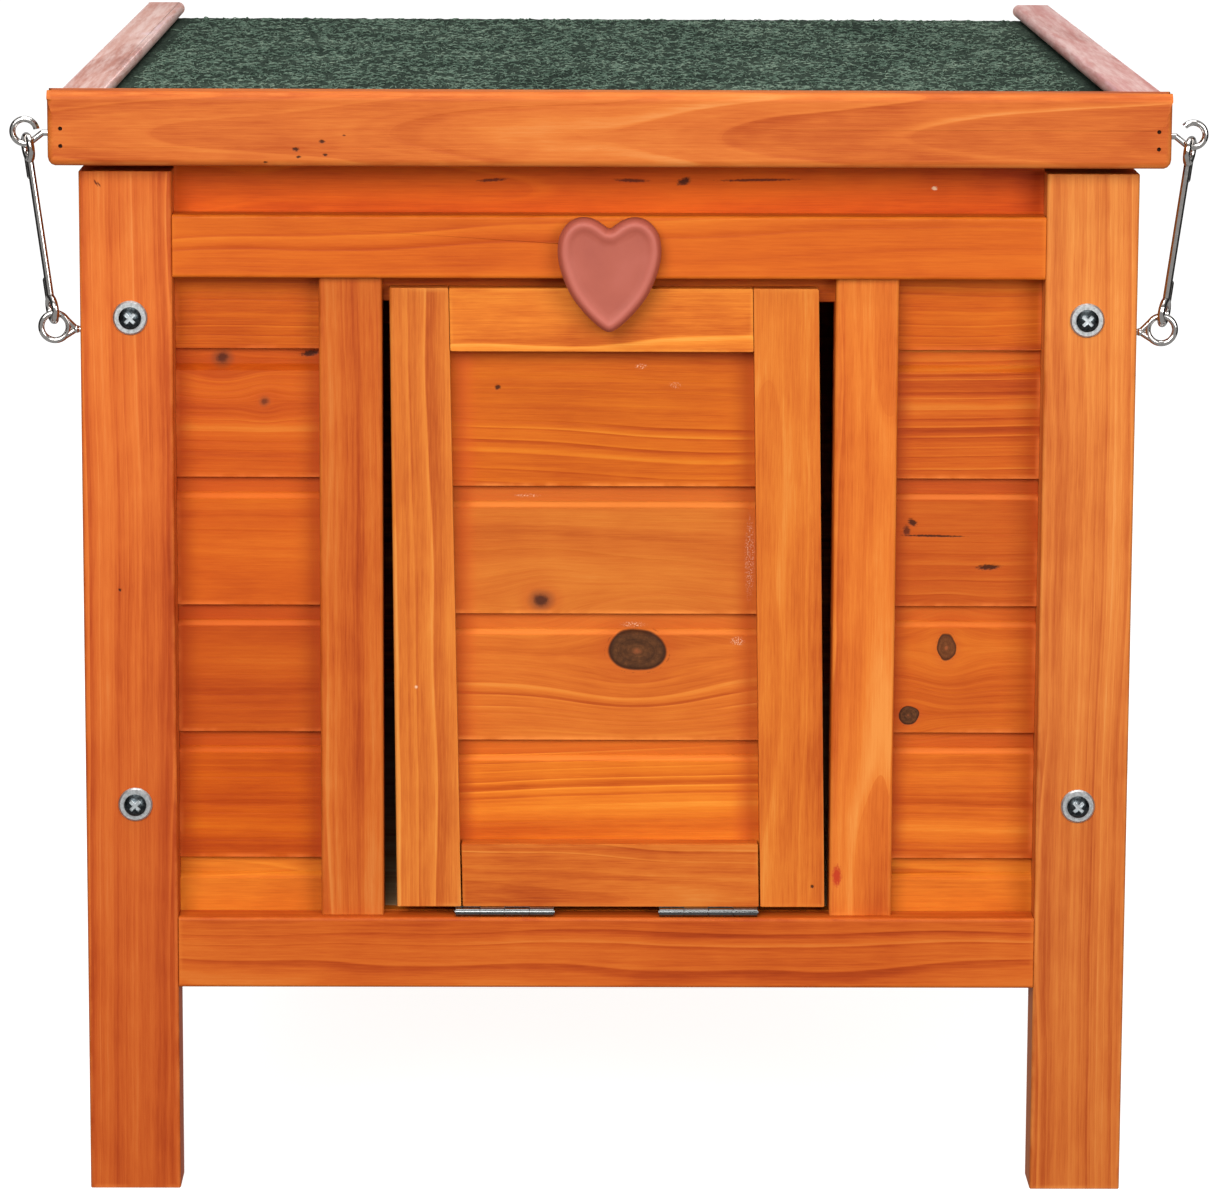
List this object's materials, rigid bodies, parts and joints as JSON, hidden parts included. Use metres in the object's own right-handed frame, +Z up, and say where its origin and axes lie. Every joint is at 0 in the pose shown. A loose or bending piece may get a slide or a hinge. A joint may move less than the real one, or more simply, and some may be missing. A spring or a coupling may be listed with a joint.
{
  "type": "rabbit hutch",
  "caption": "Small flat-roofed wooden rabbit hutch on legs, with drop-down door, heart latch and hinged felted roof held by wire links.",
  "frame": {"origin": "on the ground, at the middle of the object's box in plan", "axes": "+X to the right seen from the front, +Y from the front to the back, +Z up"},
  "size_m": [0.4536, 0.5151, 0.4272],
  "materials": {
    "frame_wood": "orange-stained softwood, satin",
    "siding_wood": "orange-stained softwood boards, satin",
    "batten_wood": "stained softwood with a pale haze",
    "panel_wood": "thin plywood, bare",
    "zinc_steel": "zinc-plated steel",
    "roofing_felt": "dark green granular roofing felt",
    "rose_plastic": "matte dusty-rose moulded plastic"
  },
  "bodies": {
    "hutch": {"leg_front_left": "frame_wood", "leg_front_right": "frame_wood", "leg_back_left": "frame_wood", "leg_back_right": "frame_wood", "front_upper_rail": "frame_wood", "front_lower_rail": "frame_wood", "front_stile_left": "frame_wood", "front_stile_right": "frame_wood", "front_boards_top": "siding_wood", "front_boards_left": "siding_wood", "front_boards_right": "siding_wood", "front_board_bottom": "siding_wood", "back_upper_rail": "frame_wood", "back_lower_rail": "frame_wood", "back_boards": "siding_wood", "side_boards_left": "siding_wood", "side_boards_right": "siding_wood", "side_battens_left": "frame_wood", "side_battens_right": "frame_wood", "side_rails_left": "frame_wood", "side_rails_right": "frame_wood", "floor_panel": "panel_wood", "leg_screws": "zinc_steel", "leg_washers": "zinc_steel", "eye_screw_left": "zinc_steel", "eye_screw_right": "zinc_steel", "latch_screw": "zinc_steel", "door_hinge_rail_leaves": "zinc_steel", "door_hinge_pins": "zinc_steel", "door_hinge_rail_screws": "zinc_steel", "roof_hinge_body_leaves": "zinc_steel", "roof_hinge_pins": "zinc_steel", "roof_hinge_body_screws": "zinc_steel"},
    "roof": {"roof_fascia": "frame_wood", "roof_rail_left": "frame_wood", "roof_rail_right": "frame_wood", "roof_rail_back": "frame_wood", "roof_board": "panel_wood", "roof_felt": "roofing_felt", "roof_batten_left": "batten_wood", "roof_batten_right": "batten_wood", "fascia_nails": "zinc_steel", "hook_screw_left": "zinc_steel", "hook_screw_right": "zinc_steel", "roof_hinge_lid_leaves": "zinc_steel", "roof_hinge_lid_screws": "zinc_steel"},
    "door": {"door_stile_left": "frame_wood", "door_stile_right": "frame_wood", "door_top_rail": "frame_wood", "door_bottom_rail": "frame_wood", "door_boards": "siding_wood", "door_hinge_door_leaves": "zinc_steel", "door_hinge_door_screws": "zinc_steel"},
    "heart": {"heart_latch": "rose_plastic"},
    "link_l": {"link_left": "zinc_steel"},
    "link_r": {"link_right": "zinc_steel"}
  },
  "joints": [
    {"name": "roof_hinge", "type": "hinge", "parent": "hutch", "child": "roof", "pos_m": [0, 0.25505, 0.3975], "axis": [-1, 0, 0], "range_deg": [0, 110]},
    {"name": "door_hinge", "type": "hinge", "parent": "hutch", "child": "door", "pos_m": [0, -0.24305, 0.1097], "axis": [1, 0, 0], "range_deg": [0, 115]},
    {"name": "heart_pivot", "type": "hinge", "parent": "hutch", "child": "heart", "pos_m": [0, -0.25015, 0.3665], "axis": [0, 1, 0], "range_deg": [0, 180]},
    {"name": "link_left_swing", "type": "hinge", "parent": "hutch", "child": "link_l", "pos_m": [-0.2105, -0.23355, 0.3355], "axis": [0, -1, 0], "range_deg": [0, 170]},
    {"name": "link_right_swing", "type": "hinge", "parent": "hutch", "child": "link_r", "pos_m": [0.2105, -0.23355, 0.3355], "axis": [0, 1, 0], "range_deg": [0, 170]}
  ]
}
